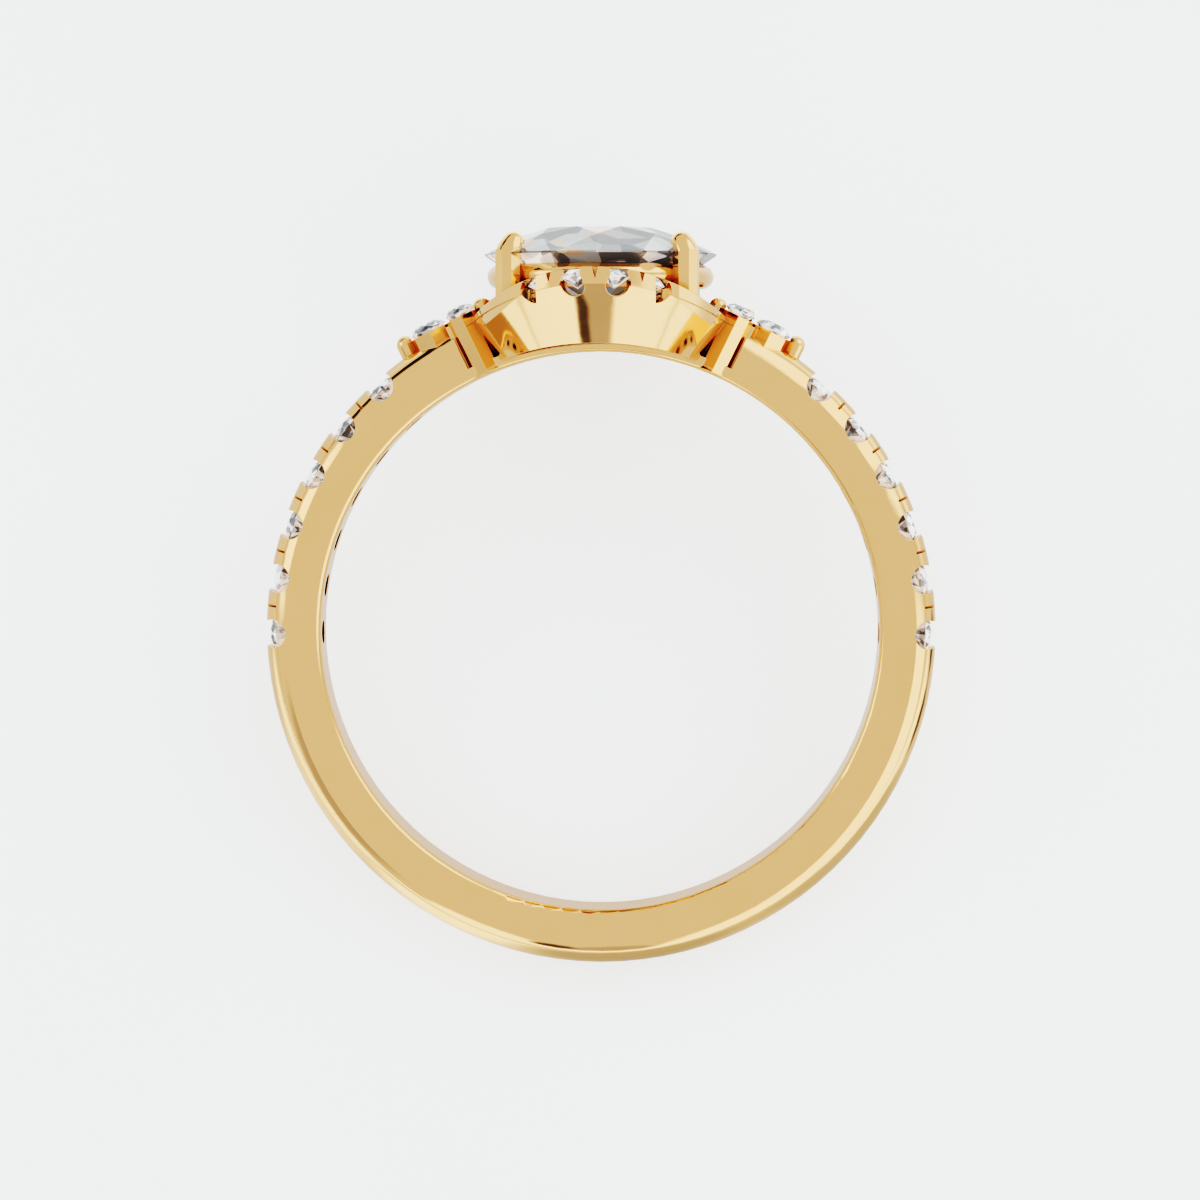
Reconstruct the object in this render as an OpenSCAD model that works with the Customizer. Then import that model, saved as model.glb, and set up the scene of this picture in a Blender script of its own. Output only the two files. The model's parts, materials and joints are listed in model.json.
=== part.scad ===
/* [Finger hole and shank] */
// Inside diameter of the finger hole, ring size six and a half
hole_d = 16.9; // [16.7:0.1:17.1]
// Width of the shank along the finger
shank_w = 1.9; // [1.8:0.05:2]
// Thickness of the shank, from the hole to its crest
shank_t = 1.72; // [1.7:0.02:1.76]
// How far the flat side face reaches outwards from the hole
side_h = 1.095; // [1.05:0.01:1.12]
// Radius of the rounded edges inside the shank
inner_round = 0.2; // [0.12:0.01:0.25]
// Thickness of the thin bridge under the head
bridge_t = 0.41; // [0.38:0.01:0.45]

/* [Pave shoulders] */
// Stones in the row on each shoulder
pave_n = 6; // [4:1:6]
// Angle of the first stone from the head
pave_first = 42; // [41:0.5:44]
// Angle between two stones
pave_step = 9.7; // [9.4:0.1:10]
// Girdle diameter of a pave stone
pave_d = 1.12; // [1:0.02:1.2]
// Radius of the scalloped cut beside a pave stone
scallop_r = 0.43; // [0.38:0.01:0.44]
// Width of the slit that splits a pair of beads
slit_w = 0.07; // [0.05:0.01:0.1]
// Diameter of the open hole under a pave stone
azure_d = 0.7; // [0.5:0.05:0.7]

/* [Centre stone] */
// Length of the oval stone along the finger
stone_l = 9; // [8.6:0.1:9]
// Width of the oval stone across the finger
stone_w = 7; // [6.8:0.1:7]
// Height of its girdle above the ring's centre
stone_z = 11.38; // [11.34:0.01:11.5]
// Height of its crown
stone_crown = 0.78; // [0.7:0.02:0.9]
// Depth of its pavilion
stone_pavilion = 2.35; // [1.8:0.05:2.35]

/* [Claws and gallery rail] */
// Width of a centre claw
claw_w = 0.74; // [0.72:0.02:0.8]
// Height of the claw tips above the girdle
claw_rise = 0.64; // [0.58:0.02:0.68]
// Thickness of the round rail under the centre stone
rail_d = 0.72; // [0.68:0.02:0.72]
// Distance of the rail's middle line inside the girdle
rail_inset = 0.45; // [0.44:0.01:0.48]

/* [Halo] */
// Length of the halo along the finger
halo_l = 11.12; // [11:0.04:11.2]
// Width of the halo across the finger
halo_w = 7.72; // [7.6:0.04:7.72]
// Height of the halo's rim above the ring's centre, at its ends
halo_z = 10.89; // [10.85:0.01:10.95]
// Radius of the saddle that the rim's top follows
saddle_r = 5.8; // [5.7:0.1:6.1]
// Thickness of the rim at its ends
rim_t = 0.48; // [0.44:0.02:0.56]
// Girdle diameter of a halo stone
halo_d = 1; // [0.9:0.02:1.02]
// Angle between two halo stones about the centre of the rounded end
halo_step = 26.8; // [26.2:0.1:27]
// Wall thickness of the tapered skirt
skirt_t = 0.5; // [0.4:0.05:0.5]

/* [Side clusters] */
// Lean of each cluster away from the head
cluster_lean = 26; // [25:0.5:27]
// Distance of the cluster's flat top from the ring's centre
cluster_r = 10.38; // [10.36:0.01:10.42]
// Girdle diameter of each of the paired stones
pair_d = 0.92; // [0.86:0.02:0.94]
// Girdle diameter of the outer stone
outer_d = 1.12; // [1.06:0.02:1.14]

/* [Hidden] */
$fn = 96;

// Small clearance all round each stone
gap = 0.03;

hole_r = hole_d / 2;
crest_r = hole_r + shank_t;
side_r = hole_r + side_h;
half_w = shank_w / 2;
bridge_r = hole_r + bridge_t;

// The dome of the shank is an arc through both side edges and the crest
dome_rise = crest_r - side_r;
dome_r = (half_w * half_w + dome_rise * dome_rise) / (2 * dome_rise);
dome_c = crest_r - dome_r;

// Proportions of a round brilliant, as shares of its girdle radius
CROWN = 0.32;
PAVILION = 0.82;
TABLE = 0.56;
STAR = 0.79;
LOWER_HALF = 0.3;
GIRDLE = 0.05;

// The centre stone has a smaller table and longer star facets
OVAL_TABLE = 0.47;
OVAL_STAR = 0.68;

// Pave stones lie with their tables just under the beads
table_drop = 0.15;
pave_girdle_r = crest_r - table_drop - CROWN * pave_d / 2;
scallop_c = crest_r - 0.235;
slit_floor = crest_r - 0.34;
slit_ridge = 0.56;

// The halo is a four-arc oval, and its rounded ends have this radius and centre
halo_a = halo_l / 2;
halo_b = halo_w / 2;
halo_end_r = halo_b - (halo_a - halo_b) / 2;
halo_end_c = halo_a - halo_end_r;
halo_inset = 0.58;
halo_band = 1.24;
saddle_c = halo_z - saddle_r;
under_r = 7.2;
under_c = halo_z - rim_t - under_r;
halo_table_drop = 0.05;
halo_scallop_r = 0.35;
halo_scallop_drop = 0.47;
halo_notch_w = 0.52;
halo_notch_x = 1.74;
halo_notch_in = 0.9;
halo_notch_lap = 0.2;
halo_notch_r = halo_scallop_r - 0.02;
halo_slit_w = 0.2;
halo_slit_h = 0.34;

// The skirt tapers on four curved faces, two at its ends and two at its sides
skirt_step = 0.08;
skirt_top = halo_z - rim_t;
skirt_a = halo_a - skirt_step;
skirt_b = skirt_a - 0.876;
skirt_taper = 0.72;
skirt_low = 8.2;
skirt_lap = 0.1;
skirt_reach = 3;
skirt_end_r = 4.7;
skirt_end_in = 0.1;
skirt_side_r = 9;
skirt_clear_r = hole_r + 0.25;

// The rail keeps one distance from the girdle
rail_a = stone_l / 2 - rail_inset - 0.01;
rail_b = stone_w / 2 - rail_inset;
rail_z = stone_z - 0.69;

// Centre claws stand just outside the girdle, on its diagonals
claw_turn = 45.8;
claw_x = (stone_w / 2 + 0.23) * cos(claw_turn);
claw_y = (stone_l / 2 + 0.02) * sin(claw_turn);
claw_foot = 9.75;
claw_top_r = claw_w / 2 / cos(22.5);
claw_dome = 0.72;
claw_tip_r = 0.33;
claw_lean = 28;
claw_hook = 0.22;
claw_face = 12.5;
claw_base = 0.3;

// Cluster places are measured along its flat top, outwards from its foot point
pair_t = -0.42;
pair_z = 0.57;
pair_w = 0.93;
pair_lift = 0.15;
outer_t = 0.7;
outer_lift = 0.11;
basket_t = 0.66;
basket_w = 1.32;
basket_h = 0.95;
collet_floor = hole_r + 0.08;
web_t = -0.35;
web_size = [1.1, 0.84, 1.38];
web_z = -1.07;
fill_t = 0.02;
fill_size = [0.3, 1.4, 1.66];
fill_z = -0.93;

// Small claws: place along the top, width, depth below it, height above it, and lean
inner_claw = [-1.13, 0.5, 0.75, 0.25, 0.03];
middle_claw = [-0.17, 0.34, 0.6, 0.34, 0];
outer_claw = [1.56, 0.52, 0.75, 0.25, -0.05];

// The ring lies on its side: it rests on the halo's lower edge and the shank's edge
rest_y = halo_z - rim_t + side_r;
rest_tilt = atan((halo_a - half_w) / rest_y);
rest_z = side_r * sin(rest_tilt) + half_w * cos(rest_tilt);
claw_ball = claw_dome - claw_tip_r;
claw_ball_z = stone_z + claw_rise - claw_dome + claw_ball * cos(claw_lean);
claw_ball_y = claw_y - claw_ball * sin(claw_lean) * sin(45);
reach_far = claw_ball_z * cos(rest_tilt) + claw_ball_y * sin(rest_tilt) + claw_tip_r;
reach_near = dome_c * cos(rest_tilt) + dome_r;
mid_y = (reach_far - reach_near) / 2;

HALO_N = 8;
CLUSTER_N = 6;
PAVE_N = 2 * pave_n;

// Angle of a pave stone from the head: the first row on the right, then the left
function pave_angle(i) =
    i <= pave_n ? pave_first + (i - 1) * pave_step : -pave_first - (i - pave_n - 1) * pave_step;

// Angle of a halo stone about the centre of its rounded end
function halo_angle(i) = ((i - 1) % 4 - 1.5) * halo_step;

// Puts the ring on its side, head towards +Y
module laid_down() {
    translate([0, -mid_y, rest_z])
        rotate([rest_tilt, 0, 0])
            children();
}

// Local +Z becomes the way out from the ring's centre at an angle from the head
module outwards(angle, r) {
    rotate([0, 0, -angle])
        translate([0, r, 0])
            rotate([-90, 0, 0])
                children();
}

// Local +Z becomes the head's own axis, and local Y runs along the finger
module head_up() {
    outwards(0, 0)
        children();
}

// Sweeps a section round an oval of four arcs: x is the distance outside the oval.
// The arcs' centres make 3-4-5 triangles, so neighbouring arcs meet on one exact plane.
module oval_sweep(a, b) {
    k = (a - b) / 2;
    for (side = [0, 1]) {
        mirror([side, 0, 0])
            oval_arc([-4 * k, 0], b + 4 * k, [[0, 0], [16, -12], [16, 12]])
                children();
        mirror([0, side, 0])
            oval_arc([0, 3 * k], b - k, [[0, 0], [16, 12], [-16, 12]])
                children();
    }
}

// One arc of the oval: a full turn of the section, kept inside its wedge
module oval_arc(centre, r, wedge) {
    translate([centre[0], centre[1], 0])
        intersection() {
            rotate_extrude()
                translate([r, 0])
                    children();
            translate([0, 0, -20])
                linear_extrude(height = 40)
                    polygon(wedge);
        }
}

// A brilliant cut: table, stars, kites, halves, girdle, and eight pavilion mains
module brilliant(rx, ry, crown, pavilion, girdle, table, star) {
    tilt = 22.5;
    star_z = crown * (1 - star * cos(tilt)) / (1 - table);
    low_z = -girdle - (pavilion - girdle) * (1 - LOWER_HALF * cos(tilt));
    ring = function(share, from, count, z)
        [for (k = [0:count - 1]) let (t = from + k * 360 / count)
            [rx * share * cos(t), ry * share * sin(t), z]];
    points = concat(
        ring(table, tilt, 8, crown),
        ring(star, 2 * tilt, 8, star_z),
        ring(1, tilt, 16, 0),
        ring(1, tilt, 16, -girdle),
        ring(LOWER_HALF, 2 * tilt, 8, low_z),
        [[0, 0, -pavilion]]
    );
    t0 = 0;
    s0 = 8;
    g0 = 16;
    u0 = 32;
    p0 = 48;
    culet = 56;
    faces = concat(
        [[for (k = [7:-1:0]) t0 + k]],
        [for (k = [0:7]) [t0 + k, t0 + (k + 1) % 8, s0 + k]],
        [for (k = [0:7]) [t0 + k, s0 + k, g0 + 2 * k, s0 + (k + 7) % 8]],
        [for (k = [0:7]) [s0 + k, g0 + 2 * k + 1, g0 + 2 * k]],
        [for (k = [0:7]) [s0 + k, g0 + (2 * k + 2) % 16, g0 + 2 * k + 1]],
        [for (j = [0:15]) [g0 + j, g0 + (j + 1) % 16, u0 + (j + 1) % 16, u0 + j]],
        [for (k = [0:7]) [p0 + k, u0 + 2 * k, u0 + 2 * k + 1]],
        [for (k = [0:7]) [p0 + k, u0 + 2 * k + 1, u0 + (2 * k + 2) % 16]],
        [for (k = [0:7]) [culet, p0 + (k + 7) % 8, u0 + 2 * k, p0 + k]]
    );
    polyhedron(points, faces);
}

// A small round brilliant with its girdle at local zero
module round_stone(d) {
    r = d / 2;
    brilliant(r, r, CROWN * r, PAVILION * r, GIRDLE * r, TABLE, STAR);
}

// The room that a small stone takes, with the clearance, flaring out above its table
module round_seat(d) {
    r = d / 2;
    flare = 0.6;
    flare_h = 0.5;
    rotate_extrude()
        polygon([
            [0, -PAVILION * r - gap],
            [r + gap, -GIRDLE * r - gap],
            [r + gap, gap],
            [TABLE * r + gap, CROWN * r + gap],
            [TABLE * r + gap + flare, CROWN * r + gap + flare_h],
            [0, CROWN * r + gap + flare_h]
        ]);
}

// The oval centre stone, or with a clearance the room that it takes
module oval_stone(extra) {
    rx = stone_w / 2 + extra;
    ry = stone_l / 2 + extra;
    girdle = 0.05;
    translate([0, 0, extra])
        brilliant(rx, ry, stone_crown + extra, stone_pavilion + 2 * extra, girdle + 2 * extra,
            OVAL_TABLE, OVAL_STAR);
}

// Flat sides, rounded inner edges and a domed outside
module shank_section() {
    for (side = [-1, 1]) {
        translate([hole_r + inner_round, side * (half_w - inner_round)])
            circle(r = inner_round);
    }
    translate([hole_r + inner_round, -half_w])
        square([side_h - inner_round, shank_w]);
    translate([hole_r, inner_round - half_w])
        square([side_h, shank_w - 2 * inner_round]);
    intersection() {
        translate([dome_c, 0])
            circle(r = dome_r);
        translate([side_r, -shank_w])
            square([shank_t, 2 * shank_w]);
    }
}

// Everything above the thin bridge, between the two clusters
module head_space() {
    reach = 14;
    edge_t = 0.08;
    x0 = edge_t * cos(cluster_lean);
    y0 = -edge_t * sin(cluster_lean);
    x1 = x0 + reach * sin(cluster_lean);
    y1 = y0 + reach * cos(cluster_lean);
    difference() {
        translate([0, 0, -shank_w])
            linear_extrude(height = 2 * shank_w)
                polygon([[-x0, y0], [x0, y0], [x1, y1], [-x1, y1]]);
        cylinder(h = 5 * shank_w, r = bridge_r, center = true);
    }
}

// The plain hoop, thinned to a bridge under the head
module shank() {
    difference() {
        rotate_extrude()
            shank_section();
        head_space();
    }
}

// A place on one side's cluster: t along its flat top, local Y along the finger
module on_cluster(side, t, y) {
    mirror([side < 0 ? 1 : 0, 0, 0])
        outwards(cluster_lean, cluster_r)
            translate([t, y, 0])
                children();
}

// An eight-sided post, turned so that a flat face or an edge looks along the finger
module post(width, low, high, turn = 22.5) {
    translate([0, 0, low])
        rotate([0, 0, turn])
            cylinder(h = high - low, r = width / 2 / cos(22.5), $fn = 8);
}

// A claw at one place of a cluster: an eight-sided stem whose flats run up into a round tip
module small_claw(side, claw, y) {
    r = claw[1] / 2 / cos(22.5);
    on_cluster(side, claw[0], y)
        intersection() {
            post(claw[1], -claw[2], claw[3]);
            translate([claw[4], 0, claw[3] - r]) {
                sphere(r = r);
                translate([0, 0, -2 * claw[2]])
                    cylinder(h = 2 * claw[2], r = r);
            }
        }
}

// Tall paired collets, the outer basket, the web and filling behind, and the claws
module cluster(side) {
    difference() {
        union() {
            for (y = [-pair_z, pair_z]) {
                on_cluster(side, pair_t, y)
                    post(pair_w, collet_floor - cluster_r - 0.2, 0, 0);
                small_claw(side, inner_claw, y);
            }
            on_cluster(side, web_t, 0)
                translate([0, 0, web_z])
                    cube(web_size, center = true);
            on_cluster(side, fill_t, 0)
                translate([0, 0, fill_z])
                    cube(fill_size, center = true);
        }
        cylinder(h = 3 * shank_w, r = collet_floor, center = true);
    }
    on_cluster(side, basket_t, 0)
        post(basket_w, -basket_h, 0, 0);
    small_claw(side, middle_claw, 0);
    small_claw(side, outer_claw, 0);
}

// Rim of the halo, between its saddle-shaped top and its flatter underside
module halo_rim() {
    low = 8.6;
    difference() {
        intersection() {
            oval_sweep(halo_a, halo_b)
                translate([-halo_band, low])
                    square([halo_band, 3]);
            translate([0, 0, saddle_c])
                rotate([90, 0, 0])
                    cylinder(h = 2 * halo_l, r = saddle_r, center = true);
        }
        translate([0, 0, under_c])
            rotate([90, 0, 0])
                cylinder(h = 2 * halo_l, r = under_r, center = true);
    }
}

// One face of the skirt, part of a wide cone round its own axis
module skirt_face(x, y, r, inset) {
    high = skirt_top + skirt_lap;
    top_r = r + skirt_taper * skirt_lap - inset;
    translate([x, y, skirt_low])
        cylinder(h = high - skirt_low, r1 = top_r - skirt_taper * (high - skirt_low), r2 = top_r);
}

// The skirt's outer form, or with an inset the hollow inside it
module skirt_form(inset) {
    end_y = skirt_a - skirt_end_in - skirt_end_r;
    side_x = skirt_b - skirt_side_r;
    intersection() {
        union() {
            skirt_face(0, end_y, skirt_end_r, inset);
            skirt_face(0, -end_y, skirt_end_r, inset);
        }
        skirt_face(side_x, 0, skirt_side_r, inset);
        skirt_face(-side_x, 0, skirt_side_r, inset);
    }
}

// Skirt of the halo, cut to clear the finger
module skirt() {
    difference() {
        intersection() {
            skirt_form(0);
            oval_sweep(halo_a, halo_b)
                translate([-skirt_reach, skirt_low])
                    square([skirt_reach - gap, skirt_reach]);
            translate([0, 0, under_c])
                rotate([90, 0, 0])
                    cylinder(h = 2 * halo_l, r = under_r + skirt_lap, center = true);
        }
        skirt_form(skirt_t);
        rotate([90, 0, 0])
            cylinder(h = 2 * halo_l, r = skirt_clear_r, center = true);
    }
}

// Round rail that carries the centre stone
module rail() {
    translate([0, 0, rail_z])
        oval_sweep(rail_a, rail_b)
            circle(r = rail_d / 2);
}

// The pointed dome of a claw: a small ball on top and a wide arc down to the stem
module claw_bullet() {
    wide = (pow(claw_top_r, 2) + pow(claw_ball, 2) - pow(claw_tip_r, 2))
        / (2 * (claw_top_r - claw_tip_r));
    reach = wide - claw_top_r;
    join_z = claw_ball * wide / (wide - claw_tip_r);
    rotate_extrude()
        union() {
            intersection() {
                translate([0, claw_ball])
                    circle(r = claw_tip_r);
                square([claw_top_r, claw_dome]);
            }
            intersection() {
                translate([-reach, 0])
                    circle(r = wide);
                square([claw_top_r, join_z]);
            }
            translate([0, -claw_base])
                square([claw_top_r, claw_base]);
        }
}

// Four centre claws, eight-sided below and domed over the crown
module centre_claws() {
    shoulder = stone_z + claw_rise - claw_dome;
    for (sx = [-1, 1]) {
        for (sy = [-1, 1]) {
            turn = atan2(-sy, -sx);
            translate([sx * claw_x, sy * claw_y, 0]) {
                post(claw_w, claw_foot, shoulder, claw_face);
                intersection() {
                    translate([0, 0, shoulder])
                        rotate([0, 0, turn])
                            rotate([0, claw_lean, 0])
                                claw_bullet();
                    union() {
                        post(claw_w, claw_foot, stone_z + 1, claw_face);
                        translate([-sx * claw_hook, -sy * claw_hook, 0])
                            post(claw_w, stone_z + claw_hook, stone_z + 1, claw_face);
                    }
                }
            }
        }
    }
}

// The place of a halo stone at one end of the halo, normal to the saddle
module at_halo_stone(i, r, depth) {
    end = i > 4 ? 1 : -1;
    turn = halo_angle(i);
    x = r * sin(turn);
    y = end * (halo_end_c + r * cos(turn));
    translate([0, y, saddle_c])
        rotate([0, asin(x / saddle_r), 0])
            translate([0, 0, saddle_r - depth])
                children();
}

// The keyhole notch that opens from a halo stone to the side
module halo_notch(i) {
    end = i > 4 ? 1 : -1;
    path_r = halo_end_r - halo_inset;
    top = saddle_c + sqrt(pow(saddle_r, 2) - pow(path_r * sin(halo_angle(i)), 2));
    translate([0, end * halo_end_c, top - halo_scallop_drop])
        rotate([0, 0, -end * halo_angle(i)])
            mirror([0, end > 0 ? 0 : 1, 0])
                translate([0, path_r, 0]) {
                    rotate([-90, 0, 0])
                        cylinder(h = 1.2, r = halo_scallop_r);
                    rotate([0, 0, halo_angle(i)])
                        translate([0, halo_notch_lap, 0])
                            rotate([90, 0, 0])
                                cylinder(h = halo_notch_lap + halo_notch_in, r = halo_notch_r);
                    translate([-halo_notch_w / 2, 0, 0])
                        cube([halo_notch_w, 1.2, 1]);
                }
}

// Cuts of one halo stone: its seat and its notch, which the outer stones' beads cut off straight
module halo_cuts(i) {
    at_halo_stone(i, halo_end_r - halo_inset, halo_table_drop + CROWN * halo_d / 2)
        round_seat(halo_d);
    difference() {
        halo_notch(i);
        if (abs(halo_angle(i)) > halo_step) {
            cube([2 * halo_notch_x, 2 * halo_l, 4 * halo_z], center = true);
        }
    }
}

// V-shaped slits between the halo beads
module halo_slits() {
    top = 2 * halo_slit_h;
    for (end = [-1, 1]) {
        for (turn = [-halo_step, 0, halo_step]) {
            path_x = (halo_end_r - halo_inset) * sin(turn);
            drop = saddle_r - sqrt(pow(saddle_r, 2) - pow(path_x, 2));
            translate([0, end * halo_end_c, halo_z - drop - halo_slit_h])
                rotate([0, 0, -end * turn])
                    translate([0, end > 0 ? halo_end_r + 0.1 : 0.5 - halo_end_r, 0])
                        rotate([90, 0, 0])
                            linear_extrude(height = 0.6)
                                polygon([[0, 0], [halo_slit_w, top], [-halo_slit_w, top]]);
        }
    }
}

// Cuts of one pave stone: seat, scallop through both sides, and the open hole
module pave_cuts(i) {
    outwards(pave_angle(i), pave_girdle_r)
        round_seat(pave_d);
    outwards(pave_angle(i), hole_r - 0.3)
        cylinder(h = pave_girdle_r - hole_r, r = azure_d / 2);
    rotate([0, 0, -pave_angle(i)])
        translate([0, scallop_c, 0])
            cylinder(h = 2 * shank_w, r = scallop_r, center = true);
}

// Slits between the pave beads, on both sides of a ridge left along the crest
module pave_slits() {
    difference() {
        for (side = [-1, 1]) {
            for (k = [0:pave_n - 2]) {
                rotate([0, 0, -side * (pave_first + (k + 0.5) * pave_step)])
                    translate([-slit_w / 2, slit_floor, -shank_w])
                        cube([slit_w, 1, 2 * shank_w]);
            }
        }
        cylinder(h = slit_ridge, r = 2 * crest_r, center = true);
    }
}

// Seats of the three stones in a cluster
module cluster_seats(side) {
    for (y = [-pair_z, pair_z]) {
        on_cluster(side, pair_t, y)
            translate([0, 0, pair_lift])
                round_seat(pair_d);
    }
    on_cluster(side, outer_t, 0)
        translate([0, 0, outer_lift])
            round_seat(outer_d);
}

// All the gold: one cast and soldered piece
module mount() {
    color("#e3bf7c")
        laid_down()
            difference() {
                union() {
                    shank();
                    cluster(1);
                    cluster(-1);
                    head_up() {
                        halo_rim();
                        skirt();
                        rail();
                        centre_claws();
                    }
                }
                head_up() {
                    oval_cut();
                    halo_slits();
                    for (i = [1:HALO_N]) {
                        halo_cuts(i);
                    }
                }
                cluster_seats(1);
                cluster_seats(-1);
                pave_slits();
                for (i = [1:PAVE_N]) {
                    pave_cuts(i);
                }
            }
}

// Room for the centre stone in its claws and rail
module oval_cut() {
    translate([0, 0, stone_z])
        oval_stone(gap);
}

// The oval brilliant in its four claws
module centre_stone() {
    color("#eef2f5")
        laid_down()
            head_up()
                translate([0, 0, stone_z])
                    oval_stone(0);
}

// One small round stone of the halo
module halo_stone(i) {
    color("#f4f7f9")
        laid_down()
            head_up()
                at_halo_stone(i, halo_end_r - halo_inset, halo_table_drop + CROWN * halo_d / 2)
                    round_stone(halo_d);
}

// One stone of a side cluster: two paired ones and the outer one on each side
module cluster_stone(i) {
    side = i > 3 ? -1 : 1;
    place = (i - 1) % 3;
    color("#f4f7f9")
        laid_down()
            on_cluster(side, place == 2 ? outer_t : pair_t, [-pair_z, pair_z, 0][place])
                translate([0, 0, place == 2 ? outer_lift : pair_lift])
                    round_stone(place == 2 ? outer_d : pair_d);
}

// One stone of the pave rows
module pave_stone(i) {
    color("#f4f7f9")
        laid_down()
            outwards(pave_angle(i), pave_girdle_r)
                round_stone(pave_d);
}

mount();
centre_stone();
for (i = [1:HALO_N]) halo_stone(i);
for (i = [1:CLUSTER_N]) cluster_stone(i);
for (i = [1:PAVE_N]) pave_stone(i);
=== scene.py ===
import json
import math

import bpy
from mathutils import Matrix, Vector

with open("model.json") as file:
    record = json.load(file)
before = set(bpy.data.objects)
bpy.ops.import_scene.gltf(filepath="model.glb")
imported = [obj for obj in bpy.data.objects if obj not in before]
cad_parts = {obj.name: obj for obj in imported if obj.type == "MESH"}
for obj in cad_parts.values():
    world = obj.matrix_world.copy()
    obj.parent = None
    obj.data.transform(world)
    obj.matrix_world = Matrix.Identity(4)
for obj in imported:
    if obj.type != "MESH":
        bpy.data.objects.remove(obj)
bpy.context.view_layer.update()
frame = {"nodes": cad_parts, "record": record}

MM = 0.001
record = frame["record"]


# Small node helpers

def new_material(name):
    m = bpy.data.materials.new(name)
    m.use_nodes = True
    nt = m.node_tree
    nt.nodes.clear()
    out = nt.nodes.new("ShaderNodeOutputMaterial")
    shader = nt.nodes.new("ShaderNodeBsdfPrincipled")
    nt.links.new(shader.outputs["BSDF"], out.inputs["Surface"])
    return m, nt, shader


def feed(nt, socket, value):
    """Give a socket a number, a colour's three numbers, or another node's output."""
    if isinstance(value, (int, float)):
        socket.default_value = value
    elif isinstance(value, tuple):
        socket.default_value = (*value, 1)
    else:
        nt.links.new(value, socket)


def noise(nt, scale, detail, rough=0.5, stretch=(1, 1, 1)):
    coord = nt.nodes.new("ShaderNodeTexCoord")
    place = nt.nodes.new("ShaderNodeMapping")
    place.inputs["Scale"].default_value = stretch
    tex = nt.nodes.new("ShaderNodeTexNoise")
    tex.inputs["Scale"].default_value = scale
    tex.inputs["Detail"].default_value = detail
    tex.inputs["Roughness"].default_value = rough
    nt.links.new(coord.outputs["Object"], place.inputs["Vector"])
    nt.links.new(place.outputs["Vector"], tex.inputs["Vector"])
    return tex.outputs["Fac"]


def ramp(nt, value, low, high, a, b):
    r = nt.nodes.new("ShaderNodeMapRange")
    r.inputs["From Min"].default_value = low
    r.inputs["From Max"].default_value = high
    r.inputs["To Min"].default_value = a
    r.inputs["To Max"].default_value = b
    nt.links.new(value, r.inputs["Value"])
    return r.outputs["Result"]


# A Mix node's socket 0 is its factor, 2 and 3 are its two numbers, and 6 and 7 its two colours

def two_colours(nt, value, a, b):
    """From colour a where value is 0 to colour b where it is 1."""
    mix = nt.nodes.new("ShaderNodeMix")
    mix.data_type = "RGBA"
    for socket, source in ((0, value), (6, a), (7, b)):
        feed(nt, mix.inputs[socket], source)
    return mix.outputs[2]


def blend_level(nt, level, target, mask):
    """level moves to target where mask is 1."""
    mix = nt.nodes.new("ShaderNodeMix")
    mix.data_type = "FLOAT"
    for socket, source in ((0, mask), (2, level), (3, target)):
        feed(nt, mix.inputs[socket], source)
    return mix.outputs[0]


def bump(nt, value, strength, distance):
    b = nt.nodes.new("ShaderNodeBump")
    b.inputs["Strength"].default_value = strength
    b.inputs["Distance"].default_value = distance
    nt.links.new(value, b.inputs["Height"])
    return b


def facet_tone(nt, scale):
    """A value that stays even over one flat facet and differs from facet to facet."""
    geo = nt.nodes.new("ShaderNodeNewGeometry")
    tex = nt.nodes.new("ShaderNodeTexNoise")
    tex.inputs["Scale"].default_value = scale
    tex.inputs["Detail"].default_value = 0.0
    nt.links.new(geo.outputs["True Normal"], tex.inputs["Vector"])
    return tex.outputs["Fac"]


def patches(nt, scale):
    """Straight-edged cells of random value, painted reflections of facets seen inside a stone."""
    coord = nt.nodes.new("ShaderNodeTexCoord")
    tex = nt.nodes.new("ShaderNodeTexVoronoi")
    tex.inputs["Scale"].default_value = scale
    split = nt.nodes.new("ShaderNodeSeparateColor")
    nt.links.new(coord.outputs["Object"], tex.inputs["Vector"])
    nt.links.new(tex.outputs["Color"], split.inputs["Color"])
    return split.outputs["Red"]


def math_node(nt, kind, *values):
    n = nt.nodes.new("ShaderNodeMath")
    n.operation = kind
    for socket, value in zip(n.inputs, values):
        feed(nt, socket, value)
    return n.outputs[0]


def smooth(nt, value, low, high):
    """From 0 where value is low to 1 where it is high, eased at both ends."""
    r = nt.nodes.new("ShaderNodeMapRange")
    r.interpolation_type = "SMOOTHSTEP"
    r.inputs["From Min"].default_value = low
    r.inputs["From Max"].default_value = high
    nt.links.new(value, r.inputs["Value"])
    return r.outputs["Result"]


# Materials

GOLD = ((0.94, 0.63, 0.36), (0.955, 0.645, 0.38))
GOLD_ROUGH = (0.045, 0.085)
# Painted shade on the gold in recesses: full where a place is as open as the first value, and gone
# at the second
GOLD_PAINTED_SHADE = (0.5, 0.24, 0.07)
GOLD_OPEN = (0.1, 0.55)
PAINTED_SHADE_REACH = 0.5 * MM
EDGE_R = 0.03 * MM
DIAMOND_IOR = 2.42
# Across the ring, painted shade darkens the centre stone from -SHADE_X to SHADE_X, and over TIPS_X
# at its tips
SHADE_X = 3 * MM
TIPS_X = (2.9 * MM, 3.2 * MM)
# The few cells above these values are warm painted glints, painted reflections of the gold
GLINT_CELLS = (0.78, 0.84)
# How squarely a facet faces the shank where its stronger painted glow begins, and where it is
# full; it is painted light on the shaded underside
FACES_SHANK = (0.2, 0.6)


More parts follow.
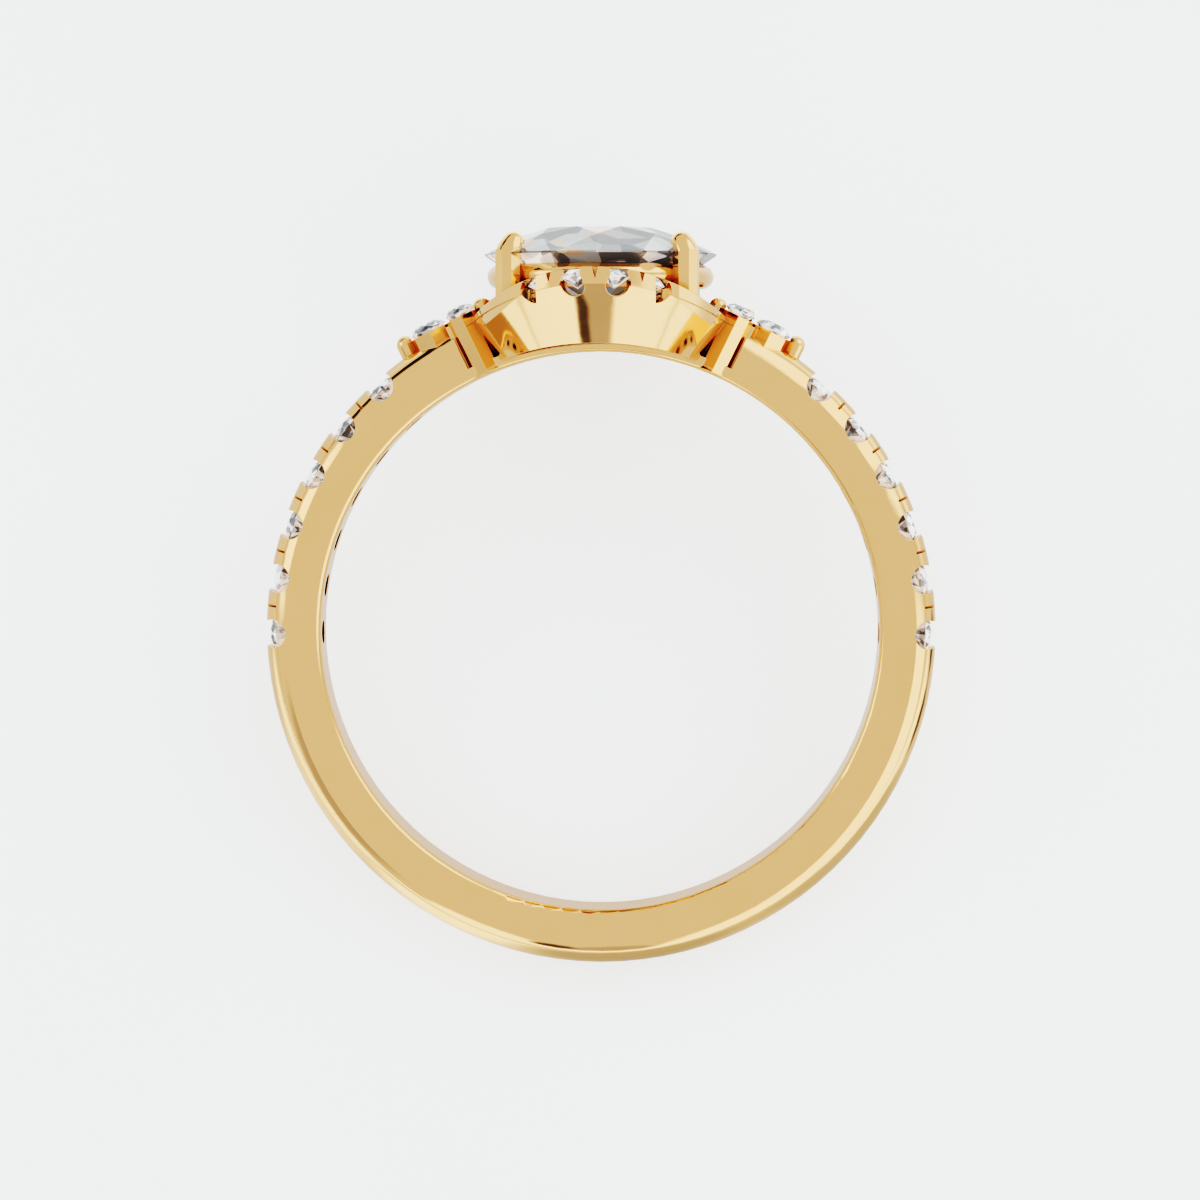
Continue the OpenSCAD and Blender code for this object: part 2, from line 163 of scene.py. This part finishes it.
def gold_material():
    m, nt, s = new_material("polished_gold")
    s.inputs["Metallic"].default_value = 1.0
    tone = ramp(nt, noise(nt, 900, 3), 0.3, 0.7, 0.0, 1.0)
    bright = two_colours(nt, tone, *GOLD)
    # Painted shade: the gold's colour darkens where ambient occlusion finds it shut in
    painted_shade_ao = nt.nodes.new("ShaderNodeAmbientOcclusion")
    painted_shade_ao.samples = 3
    painted_shade_ao.only_local = True
    painted_shade_ao.inputs["Distance"].default_value = PAINTED_SHADE_REACH
    clear = smooth(nt, painted_shade_ao.outputs["AO"], *GOLD_OPEN)
    nt.links.new(two_colours(nt, clear, GOLD_PAINTED_SHADE, bright), s.inputs["Base Color"])
    rough = ramp(nt, noise(nt, 2600, 6, 0.6), 0.3, 0.75, *GOLD_ROUGH)
    nt.links.new(rough, s.inputs["Roughness"])
    soft = nt.nodes.new("ShaderNodeBevel")
    soft.samples = 4
    soft.inputs["Radius"].default_value = EDGE_R
    fine = bump(nt, noise(nt, 9000, 5, 0.6, (1, 1, 6)), 0.03, 0.01 * MM)
    nt.links.new(soft.outputs["Normal"], fine.inputs["Normal"])
    nt.links.new(fine.outputs["Normal"], s.inputs["Normal"])
    return m


def painted_facet_light(nt, cells, span, side_shade):
    """Painted reflections, even over a facet and broken up by cells inside, with painted shade to
    the right and at the tips.
    """
    facet = ramp(nt, facet_tone(nt, 7.0), 0.36, 0.64, 0.0, 1.0)
    both = blend_level(nt, facet, patches(nt, cells), 0.5)
    coord = nt.nodes.new("ShaderNodeTexCoord")
    across = nt.nodes.new("ShaderNodeSeparateXYZ")
    nt.links.new(coord.outputs["Object"], across.inputs[0])
    # Painted shade: darker to the right, and darker again at the tips
    shade = ramp(nt, across.outputs["X"], -SHADE_X, SHADE_X, 0.0, side_shade)
    tips = smooth(nt, math_node(nt, "ABSOLUTE", across.outputs["X"]), *TIPS_X)
    shade = math_node(nt, "ADD", shade, math_node(nt, "MULTIPLY", tips, 1.5 * side_shade))
    return ramp(nt, math_node(nt, "SUBTRACT", both, shade), *span, 0.0, 1.0)


def diamond_material(name, clear, painted_glow, underside_painted_glow, dark, light, painted_glint, cells, span, side_shade):
    """Dark and light facets as painted reflections, a few warm painted glints, and a slight
    painted glow, stronger towards the shank.

    clear is how much of the light goes through, and span the tones from which to which a
    facet turns from dark to light.
    """
    m, nt, s = new_material(name)
    s.inputs["Transmission Weight"].default_value = clear
    s.inputs["IOR"].default_value = DIAMOND_IOR
    # Painted reflections: a few cells take the painted glint's colour
    warm = two_colours(nt, smooth(nt, patches(nt, cells * 1.7), *GLINT_CELLS), light, painted_glint)
    colour = two_colours(nt, painted_facet_light(nt, cells, span, side_shade), dark, warm)
    nt.links.new(colour, s.inputs["Base Color"])
    # Painted light: the stone glows in its own colour, though it is no lamp
    nt.links.new(colour, s.inputs["Emission Color"])
    geo = nt.nodes.new("ShaderNodeNewGeometry")
    split = nt.nodes.new("ShaderNodeSeparateXYZ")
    nt.links.new(geo.outputs["True Normal"], split.inputs[0])
    under = smooth(nt, math_node(nt, "MULTIPLY", split.outputs["Y"], -1.0), *FACES_SHANK)
    nt.links.new(ramp(nt, under, 0.0, 1.0, painted_glow, painted_glow + underside_painted_glow), s.inputs["Emission Strength"])
    rough = ramp(nt, noise(nt, 5000, 4), 0.4, 0.8, 0.0, 0.012)
    nt.links.new(rough, s.inputs["Roughness"])
    return m


gold = gold_material()
centre_diamond = diamond_material(
    "centre_diamond", clear=0.15, painted_glow=0.2, underside_painted_glow=0.6,
    dark=(0.06, 0.062, 0.067), light=(0.56, 0.56, 0.555), painted_glint=(0.72, 0.5, 0.3),
    cells=1200, span=(0.2, 0.72), side_shade=0.14)
small_diamonds = diamond_material(
    "small_diamonds", clear=0.05, painted_glow=0.34, underside_painted_glow=0.1,
    dark=(0.13, 0.133, 0.14), light=(0.74, 0.745, 0.75), painted_glint=(0.8, 0.79, 0.77),
    cells=5500, span=(0.2, 0.68), side_shade=0.0)

for name, ob in frame["nodes"].items():
    if name == "mount":
        mat = gold
    elif name == "centre_stone":
        mat = centre_diamond
    else:
        mat = small_diamonds
    ob.data.materials.clear()
    ob.data.materials.append(mat)
    for p in ob.data.polygons:
        p.material_index = 0


# Floor

# Level of the sheet as polished metal sees it, against 1 for the eye, and of the cards on it
FLOOR_SEEN = 0.66
# Each: place from the ring's middle in mm, inner and outer radius, level
FLOOR_CARDS = [
    (0, 34, 14, 26, 1.15),
    (26, 16, 8, 16, 1.0),
    (0, -620, 590, 602, 1.1),
    (-22, -12, 8, 11, 1.1),
    (22, -12, 8, 11, 1.1),
    (-7, -14.5, 3, 6, 1.15),
    (-12, -8.5, 2, 5, 0.85),
    (1.5, -15, 3, 6.5, 0.46),
    (11, -11.5, 3.5, 7, 0.52),
    (15.2, -1.5, 0.8, 2.4, 0.14),
    (14.6, -5, 0.8, 2.4, 0.14),
]
FLOOR_R = 0.6
PAPER = ((0.6, 0.615, 0.622), (0.62, 0.635, 0.642))
# The sheet glows, which evens out the shade under the ring
FLOOR_GLOW = 0.49
GLOW_COLOUR = (0.965, 1.0, 1.0)


def floor():
    """A pale sheet. Polished metal sees cards of other levels on it, which the camera doesn't."""
    bpy.ops.mesh.primitive_circle_add(vertices=96, radius=FLOOR_R, fill_type="NGON")
    ob = bpy.context.object
    ob.name = "floor"
    m, nt, s = new_material("floor_paper")
    tone = ramp(nt, noise(nt, 60, 5), 0.3, 0.7, 0.0, 1.0)
    paper = two_colours(nt, tone, *PAPER)
    coord = nt.nodes.new("ShaderNodeTexCoord")
    level = FLOOR_SEEN
    for x, y, inner, outer, target in FLOOR_CARDS:
        far = nt.nodes.new("ShaderNodeVectorMath")
        far.operation = "DISTANCE"
        far.inputs[1].default_value = (x * MM, y * MM, 0)
        nt.links.new(coord.outputs["Object"], far.inputs[0])
        outside = smooth(nt, far.outputs["Value"], inner * MM, outer * MM)
        level = blend_level(nt, level, target, math_node(nt, "SUBTRACT", 1.0, outside))
    path = nt.nodes.new("ShaderNodeLightPath")
    seen = math_node(nt, "SUBTRACT", 1.0, path.outputs["Is Glossy Ray"])
    level = blend_level(nt, level, 1.0, seen)
    dim = nt.nodes.new("ShaderNodeVectorMath")
    dim.operation = "SCALE"
    nt.links.new(paper, dim.inputs[0])
    nt.links.new(level, dim.inputs["Scale"])
    nt.links.new(dim.outputs[0], s.inputs["Base Color"])
    s.inputs["Roughness"].default_value = 0.7
    s.inputs["Emission Color"].default_value = (*GLOW_COLOUR, 1)
    nt.links.new(math_node(nt, "MULTIPLY", level, FLOOR_GLOW), s.inputs["Emission Strength"])
    ob.data.materials.append(m)


floor()


# Camera

# The ring's own frame: its middle and its lean on the floor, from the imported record's bore
bore = record["mounts"][0]
centre = Vector(bore["pos_m"])
axis = Vector(bore["axis"])
lean = math.atan2(-axis.y, axis.z)
to_world = Matrix.Translation(centre) @ Matrix.Rotation(lean, 4, "X")

# Size of a pixel at the ring, the lens in pixels, and the view's angles off the ring's axis
PIXEL = 0.0304 * MM
LENS_PX = 3700
FRAME_PX = 1200
SENSOR_MM = 36
VIEW_TURN = math.radians(1.65)
VIEW_RISE = math.radians(3.8)
# Where the picture's middle is, right of the ring's middle and above it, in pixels
AIM_PX = (-0.5, 30)


def camera():
    px, az, el = PIXEL, VIEW_TURN, VIEW_RISE
    aim = Vector((AIM_PX[0] * px, AIM_PX[1] * px / math.cos(el), 0))
    away = Vector((math.sin(az) * math.cos(el), math.sin(el), math.cos(az) * math.cos(el)))
    eye = to_world @ (aim + away * LENS_PX * px)
    target = to_world @ aim
    up = to_world.to_3x3() @ Vector((0, 1, 0))
    back = (eye - target).normalized()
    right = up.cross(back).normalized()
    top = back.cross(right)
    cam = bpy.data.cameras.new("camera")
    ob = bpy.data.objects.new("camera", cam)
    bpy.context.collection.objects.link(ob)
    ob.matrix_world = Matrix.Translation(eye) @ Matrix((right, top, back)).transposed().to_4x4()
    cam.sensor_width = SENSOR_MM
    cam.lens = SENSOR_MM * LENS_PX / FRAME_PX
    cam.clip_start = 1 * MM
    bpy.context.scene.camera = ob


camera()


# Light

# Level of the plain fill overhead, of the line at the horizon, and of the backdrop
FILL = 0.58
HORIZON = 0.45
BACKGROUND = 0.85
# How high the horizon's line reaches before it fades, and where it is gone
HORIZON_Z = (0.02, 0.05)
# Each: turn round the view axis from the right, angle off it, inner and outer half-size, level
BOXES = [
    (-32, 68, 24, 36, 1.0),
    (42, 72, 20, 30, 1.0),
    (166, 68, 11, 19, 1.05),
    (215, 66, 10, 20, 0.4),
    (249, 80, 9, 12, 1.0),
    (291, 80, 12, 15, 1.0),
    (269.9, 75, 5.6, 6.4, 0.42),
    (260.2, 75, 2.2, 4.6, 0.13),
    (100, 97, 2, 7, 0.08),
    (113, 96, 3, 9, 0.06),
    (127, 93, 5, 12, 0.05),
    (142, 91, 3, 9, 0.06),
]


def studio(cam):
    """Soft boxes and flags round the ring, placed by the way the ring's front sees them."""
    world = bpy.data.worlds.new("studio")
    world.use_nodes = True
    nt = world.node_tree
    nt.nodes.clear()
    out = nt.nodes.new("ShaderNodeOutputWorld")
    bg = nt.nodes.new("ShaderNodeBackground")
    bg.inputs["Color"].default_value = (1, 1, 1, 1)
    coord = nt.nodes.new("ShaderNodeTexCoord")
    split = nt.nodes.new("ShaderNodeSeparateXYZ")
    nt.links.new(coord.outputs["Generated"], split.inputs[0])
    band = math_node(nt, "SUBTRACT", 1.0, smooth(nt, split.outputs["Z"], *HORIZON_Z))
    level = blend_level(nt, FILL, HORIZON, band)
    face = cam.matrix_world.to_3x3().normalized()
    for turn, off, inner, outer, target in BOXES:
        t, o = math.radians(turn), math.radians(off)
        way = face @ Vector((math.cos(t) * math.sin(o), math.sin(t) * math.sin(o), math.cos(o)))
        dot = nt.nodes.new("ShaderNodeVectorMath")
        dot.operation = "DOT_PRODUCT"
        dot.inputs[1].default_value = way
        nt.links.new(coord.outputs["Generated"], dot.inputs[0])
        edge = [math.cos(math.radians(angle)) for angle in (outer, inner)]
        level = blend_level(nt, level, target, smooth(nt, dot.outputs["Value"], *edge))
    path = nt.nodes.new("ShaderNodeLightPath")
    level = blend_level(nt, level, BACKGROUND, path.outputs["Is Camera Ray"])
    nt.links.new(level, bg.inputs["Strength"])
    nt.links.new(bg.outputs["Background"], out.inputs["Surface"])
    bpy.context.scene.world = world


studio(bpy.context.scene.camera)


# Tones

# Each: level in the render, level in the picture
TONES = [(0, 0), (0.1, 0.03), (0.15, 0.11), (0.214, 0.23), (0.32, 0.44), (0.38, 0.52),
         (0.565, 0.71), (0.67, 0.775), (0.85, 0.85), (1.0, 0.913)]


def tones():
    """A firm curve: dark reflections go deeper, and highlights roll off to cream."""
    view = bpy.context.scene.view_settings
    view.view_transform = "Standard"
    view.look = "None"
    view.use_curve_mapping = True
    mapping = view.curve_mapping
    mapping.use_clip = False
    curve = mapping.curves[3]  # red, green and blue together
    while len(curve.points) < len(TONES):
        curve.points.new(0.5, 0.5)
    for p, place in zip(curve.points, TONES):
        p.location = place
    mapping.update()


tones()
